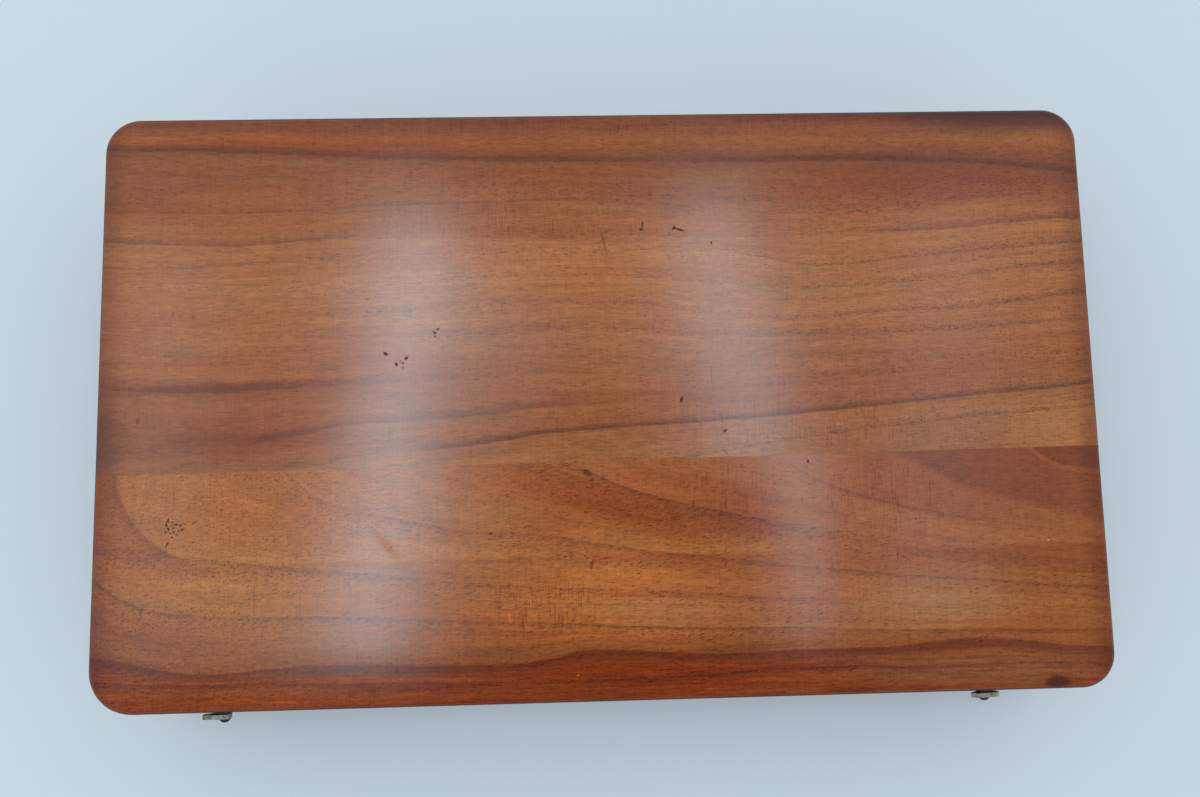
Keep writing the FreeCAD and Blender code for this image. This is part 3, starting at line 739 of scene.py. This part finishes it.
def add_edges(graph, board, shaded_rim, colour):
    """Wood that darkens towards the lid's edges, with painted shade: darkest on the rounded rim, milder on
    the sides.
    """
    from_long_edge = half_depth - abs(board.y)
    from_end = half_length - abs(board.x)
    # side: the lid's sides, which get painted shade.
    side = graph.remap(board.normal_z, 0.35, 0.1) * graph.remap(board.normal_z, -0.7, -0.3)
    colour = graph.tint(colour, graph.remap(from_long_edge, 0.5, 8.0, 0.8, 0.0), LONG_EDGE_TINT)
    colour = graph.tint(colour, graph.remap(from_end, 0.5, 10.0, 1.0, 0.0), END_EDGE_TINT)
    colour = graph.tint(colour, shaded_rim, RIM_PAINTED_SHADE_TINT)
    return graph.tint(colour, side, SIDE_PAINTED_SHADE_TINT)


def lid_relief(graph, board, plank, grain):
    """Height of the lid's face in millimetres: slow waves, a roll at its front and a rise to the right."""
    x, y, z = board.x, board.y, board.z
    wave = graph.noise(x / 100, y / 65, z / 65, 1.0, 0.4, board.seed + 10)
    ripple = graph.noise(x / 42, y / 34, z / 34, 1.0, 0.4, board.seed + 13)
    roll = graph.remap(y, *FRONT_ROLL, smooth=False)
    rise = graph.remap(x, *WARP_RISE) * plank.warp
    texture = grain.cross * 0.004 + grain.fibre * 0.002
    return wave * 0.5 + ripple * 0.05 + texture + roll * (2.0 - roll) * ROLL_HEIGHT + rise


def lid_wood(name, plank):
    """Varnished wood of one of the lid's boards."""
    graph = Graph(name)
    board = Board(graph, seed=plank.seed)
    x = board.x
    drift = board.noise(40, 14, 2.0, 0.5, 8) * 1.8 + board.noise(7, 2, 2.0, 0.5, 9) * 0.6
    y = board.on_top(*plank.pith) + drift
    place = graph.vector(x, y, 0.0)
    curves = [lid_curve(graph, x, ring.points) for ring in plank.rings]
    level = ring_level(graph, y, curves)
    dark, pore_share = ring_marks(graph, x, y, plank, curves)
    grain = lid_grain(graph, board, level)
    # The rounded rim: painted shade in the colour, and a duller varnish.
    shaded_rim = graph.remap(board.normal_z, 0.99, 0.8) * graph.remap(board.normal_z, 0.1, 0.35)

    colour = ring_colour(graph, board, plank, place, level)
    colour = plank.figure(graph, x, y, colour)
    colour = add_grain(graph, grain, colour)
    colour = add_ring_lines(graph, board, dark, colour)
    colour = add_pores(graph, board, plank, pore_share, colour)
    colour = add_hairs(graph, board, plank, place, colour)
    colour, dull = add_marks(graph, board, plank, place, colour)
    colour = add_edges(graph, board, shaded_rim, colour)
    roughness = VARNISH + shaded_rim * 0.4 + dull * 0.75 + grain.streak * 0.05
    return graph.finish(colour, roughness, lid_relief(graph, board, plank, grain))


# Metal

def metal(name, bright, dull, stain, roughness, seed):
    """Worn metal: bright where rubbed, dull and stained in patches."""
    graph = Graph(name)
    x, y, z = graph.split(graph.millimetres())
    patch = graph.noise(x / 3, y / 3, z / 3, 4.0, 0.6, seed)
    speck = graph.noise(x / 0.5, y / 0.5, z / 0.5, 3.0, 0.6, seed + 1)
    brush = graph.noise(x / 4, y / 0.2, z / 0.2, 2.0, 0.5, seed + 2)
    share = graph.remap(patch + (speck - 0.5) * 0.5, 0.35, 0.65)
    colour = graph.mix(share, bright, dull)
    colour = graph.mix(graph.remap(speck + (patch - 0.5), 0.62, 0.78), colour, stain)
    rough = roughness + share * 0.18 + (brush - 0.5) * 0.12
    height = (speck - 0.5) * 0.02 + (brush - 0.5) * 0.008
    return graph.finish(colour, rough, height, metallic=1.0)


def wear(material, *names):
    """Gives the named nodes a material."""
    for name in names:
        slots = nodes[name].data.materials
        slots.clear()
        slots.append(material)


BACK_PLANK = Plank(
    rings=BACK_RINGS, outward=1.0, tones=BACK_TONES, figure=back_lens, zones=BACK_TONE_AND_SHEEN_ZONES, marks=BACK_MARKS,
    hairs=BACK_HAIRS, rubs=[], pores=0.18, pith=(-17.0, 41.0, -0.02), warp=0.0, slant=0.0, seed=5.0)
FRONT_PLANK = Plank(
    rings=FRONT_RINGS, outward=-1.0, tones=FRONT_TONES, figure=front_figure, zones=FRONT_TONE_AND_SHEEN_ZONES,
    marks=FRONT_MARKS, hairs=FRONT_HAIRS, rubs=FRONT_RUBS, pores=0.52, pith=(-20.0, 23.0, -0.158), warp=2.1,
    slant=0.2, seed=2.0)
wear(lid_wood("lid_back_wood", BACK_PLANK), "lid_back_board")
wear(lid_wood("lid_front_wood", FRONT_PLANK), "lid_front_board")

REDWOOD = [tone(84, 33, 15), tone(122, 60, 31), tone(152, 87, 46), tone(174, 110, 62)]
CASE_RING = 7.0  # millimetres from one ring to the next
case_front = plain_wood("case_long_wood", REDWOOD, (40.0, -50.0), CASE_RING, seed=11.0, dip=0.03)
case_back = plain_wood("case_back_wood", REDWOOD, (130.0, -40.0), CASE_RING, seed=12.0, dip=-0.02)
case_end = plain_wood("case_end_wood", REDWOOD, (110.0, -40.0), CASE_RING, seed=13.0, turn=90.0, dip=0.03)
wear(case_front, "base_front_wall")
wear(case_back, "base_back_wall")
wear(case_end, "base_left_wall", "base_right_wall")

PALE = [tone(150, 112, 70), tone(184, 146, 98), tone(204, 170, 122), tone(216, 188, 144)]
FEW_PORES = 0.15
RAIL_PITH = (100.0, -30.0)
RAIL_RING = 4.0
panel = plain_wood("panel_wood", PALE, (10.0, -80.0), ring_width=5.0, seed=21.0, dip=0.04,
                   pore_share=FEW_PORES)
rail = plain_wood("rail_wood", PALE, RAIL_PITH, RAIL_RING, seed=22.0, dip=0.02, pore_share=FEW_PORES)
end_rail = plain_wood("rail_end_wood", PALE, RAIL_PITH, RAIL_RING, seed=23.0, turn=90.0, dip=0.02,
                      pore_share=FEW_PORES)
wear(panel, "bottom_panel")
wear(rail, "puzzle_rail_front", "puzzle_rail_back")
wear(end_rail, "puzzle_rail_left", "puzzle_rail_right")

DARK = [tone(48, 30, 20), tone(74, 48, 32), tone(98, 68, 46), tone(118, 86, 60)]
RED = [tone(92, 34, 20), tone(128, 54, 32), tone(152, 74, 44), tone(168, 92, 58)]
BLOND = [tone(166, 124, 74), tone(196, 156, 102), tone(214, 178, 126), tone(226, 196, 150)]
PUZZLE_RING = 8.0
PUZZLE_CONTRAST = 0.16
PUZZLE_SEED = 31.0

# Each puzzle piece's wood, and the degrees by which its grain is turned
PUZZLE = {
    "puzzle_large_triangle_front": (DARK, 45.0),
    "puzzle_small_triangle_right": (DARK, 0.0),
    "puzzle_parallelogram": (DARK, 90.0),
    "puzzle_large_triangle_back": (RED, 0.0),
    "puzzle_square": (RED, 90.0),
    "puzzle_medium_triangle": (BLOND, 0.0),
    "puzzle_small_triangle_back": (BLOND, 45.0),
}
for number, (name, (tones, turn)) in enumerate(PUZZLE.items()):
    pith = (20.0 * number, -50.0 - 6.0 * number)
    wood = plain_wood(name + "_wood", tones, pith, PUZZLE_RING, PUZZLE_SEED + number, turn,
                      contrast=PUZZLE_CONTRAST)
    wear(wood, name)

AGED_BRASS = metal("aged_brass", tone(170, 166, 156), tone(126, 123, 115), tone(60, 57, 52),
                   roughness=0.34, seed=41.0)
# Near-black screw metal: painted shade, standing for the shadow on the screw heads and in the gap behind
# the hooks.
SHADED_SCREW_METAL = metal("screw_brass", tone(54, 53, 55), tone(38, 38, 41), tone(22, 22, 24),
                    roughness=0.36, seed=44.0)
BRAD_STEEL = metal("brad_steel", tone(150, 150, 150), tone(112, 110, 106), tone(86, 66, 50),
                   roughness=0.45, seed=47.0)
for side in ("left", "right"):
    wear(AGED_BRASS, side + "_hinge_base_leaf", side + "_hinge_lid_leaf", side + "_hinge_pin",
         side + "_hook")
    # Screws and washers take the near-black metal, so that the washers read as the shaded gap behind each
    # hook.
    wear(SHADED_SCREW_METAL, side + "_hook_screw", side + "_hook_washer", side + "_catch_screw")
wear(SHADED_SCREW_METAL, "hinge_base_screws", "hinge_lid_screws")
wear(BRAD_STEEL, "bottom_brads")


# Floor, light and camera

FLOOR_REACH = 8.0
FLOOR_GAP = 0.05 * MM
PAPER = (tone(208, 219, 228), tone(213, 224, 232))
PAPER_ROUGHNESS = 0.8
OVERHEAD = Vector((0.0, -0.3, 1.0)).normalized()
SIDE_LIGHT = (1.14, 1.1, 1.07, 1.0)
OVERHEAD_LIGHT = (0.07, 0.075, 0.08, 1.0)
STRIP_HEIGHT = 1.544
COOL = (0.58, 0.84, 1.0)
WARM = (0.9, 1.0, 0.75)


def make_floor():
    """Pale paper under the box."""
    reach = FLOOR_REACH
    mesh = bpy.data.meshes.new("floor")
    corners = [(-reach, -reach, 0), (reach, -reach, 0), (reach, reach, 0), (-reach, reach, 0)]
    mesh.from_pydata(corners, [], [(0, 1, 2, 3)])
    floor = bpy.data.objects.new("floor", mesh)
    bpy.context.scene.collection.objects.link(floor)
    floor.location.z = cad_low.z - FLOOR_GAP
    graph = Graph("floor_paper")
    x, y, z = graph.split(graph.millimetres())
    mottle = graph.noise(x / 300, y / 300, z / 300, 2.0, 0.5, 51.0)
    colour = graph.mix(mottle, *PAPER)
    mesh.materials.append(graph.finish(colour, PAPER_ROUGHNESS, 0.0, specular=0.2))


def make_world():
    """Even light from the sides, and a dim patch overhead, where the camera is held."""
    world = bpy.data.worlds.new("studio")
    bpy.context.scene.world = world
    world.use_nodes = True
    tree = world.node_tree
    place = tree.nodes.new("ShaderNodeTexCoord")
    toward = tree.nodes.new("ShaderNodeVectorMath")
    toward.operation = "DOT_PRODUCT"
    toward.inputs[1].default_value = OVERHEAD
    ramp = tree.nodes.new("ShaderNodeValToRGB")
    stops = ((0.6, SIDE_LIGHT), (0.93, OVERHEAD_LIGHT))
    for element, (position, colour) in zip(ramp.color_ramp.elements, stops):
        element.position = position
        element.color = colour
    tree.links.new(place.outputs["Generated"], toward.inputs[0])
    tree.links.new(toward.outputs["Value"], ramp.inputs["Fac"])
    tree.links.new(ramp.outputs[0], tree.nodes["Background"].inputs["Color"])


def make_strip(name, far_end, near_end, width, radiance, colour=COOL):
    """A long soft lamp over the lid, from one (x, y) to another."""
    along = Vector(near_end) - Vector(far_end)
    lamp = bpy.data.lights.new(name, "AREA")
    lamp.shape = "RECTANGLE"
    lamp.size = width
    lamp.size_y = along.length
    lamp.energy = radiance * math.pi * width * along.length
    lamp.color = colour
    light = bpy.data.objects.new(name, lamp)
    middle = (Vector(near_end) + Vector(far_end)) / 2
    light.location = (*middle, STRIP_HEIGHT)
    light.rotation_euler = (0, 0, math.atan2(along.x, -along.y))
    light.visible_camera = False
    bpy.context.scene.collection.objects.link(light)


def make_camera():
    """A camera at the place that the photo was taken from."""
    place = Vector((-7.67, -25.55, 307.20)) * MM
    target = Vector((-0.915, 0.13, 43.3)) * MM
    picture_up = Vector((0.02005, 0.99505, 0.09735))
    ahead = (target - place).normalized()
    right = ahead.cross(picture_up).normalized()
    upward = right.cross(ahead)
    camera = bpy.data.objects.new("camera", bpy.data.cameras.new("camera"))
    camera.data.lens = 25.98
    camera.data.sensor_width = 36.0
    camera.data.sensor_fit = "HORIZONTAL"
    camera.data.clip_start = 0.01
    turn = Matrix((right, upward, -ahead)).transposed().to_4x4()
    camera.matrix_world = Matrix.Translation(place) @ turn
    bpy.context.scene.collection.objects.link(camera)
    bpy.context.scene.camera = camera


make_floor()
make_world()
make_strip("left_strip", (-0.335, 0.54), (-0.435, -0.42), width=0.115, radiance=12.5)
make_strip("right_strip", (0.261, 0.55), (0.345, 0.02), width=0.125, radiance=8.6)
make_strip("near_right_strip", (0.365, 0.01), (0.38, -0.38), width=0.10, radiance=6.2)
make_strip("far_left_strip", (-0.84, 0.50), (-0.88, -0.45), width=0.10, radiance=3.2)
make_strip("far_right_strip", (0.79, 0.58), (0.68, -0.32), width=0.16, radiance=1.8)
make_strip("middle_strip", (-0.18, 0.40), (-0.20, 0.12), width=0.24, radiance=1.6)
make_strip("near_left_strip", (-0.60, -0.18), (-0.62, -0.43), width=0.34, radiance=1.8, colour=WARM)
make_camera()
bpy.context.scene.view_settings.view_transform = "Standard"
